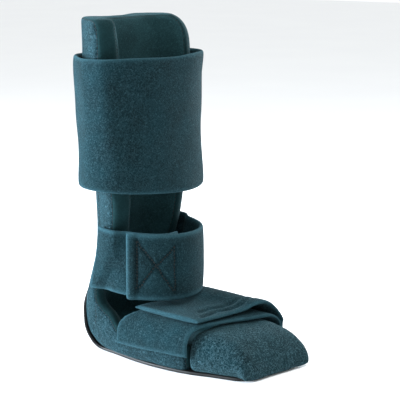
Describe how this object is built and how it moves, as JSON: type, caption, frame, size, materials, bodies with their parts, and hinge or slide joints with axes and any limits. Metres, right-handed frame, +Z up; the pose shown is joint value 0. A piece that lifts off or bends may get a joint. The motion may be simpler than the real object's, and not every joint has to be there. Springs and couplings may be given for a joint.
{
  "type": "plantar fasciitis night splint",
  "caption": "Padded L-shaped night splint that holds a foot at a right angle, with a calf cuff, an ankle strap, two forefoot straps and a toe wedge.",
  "frame": {"origin": "on the floor under the middle of the calf, on the flat underside of the sole", "axes": "+Z up along the calf, -Y towards the toes, +X towards the big toe's side of a right foot"},
  "size_m": [0.1789, 0.2521, 0.376],
  "materials": {
    "plastic": "moulded black polypropylene, satin",
    "loop_cloth": "brushed loop cloth on foam, dark teal",
    "strap_cloth": "loop cloth laminated on foam, dark teal"
  },
  "bodies": {
    "root": {"shell": "plastic", "liner": "loop_cloth", "toe_wedge": "loop_cloth", "calf_cuff": "strap_cloth", "ankle_strap_near": "strap_cloth", "ankle_strap": "strap_cloth", "foot_strap_near": "strap_cloth", "foot_strap_far": "strap_cloth"}
  },
  "joints": []
}
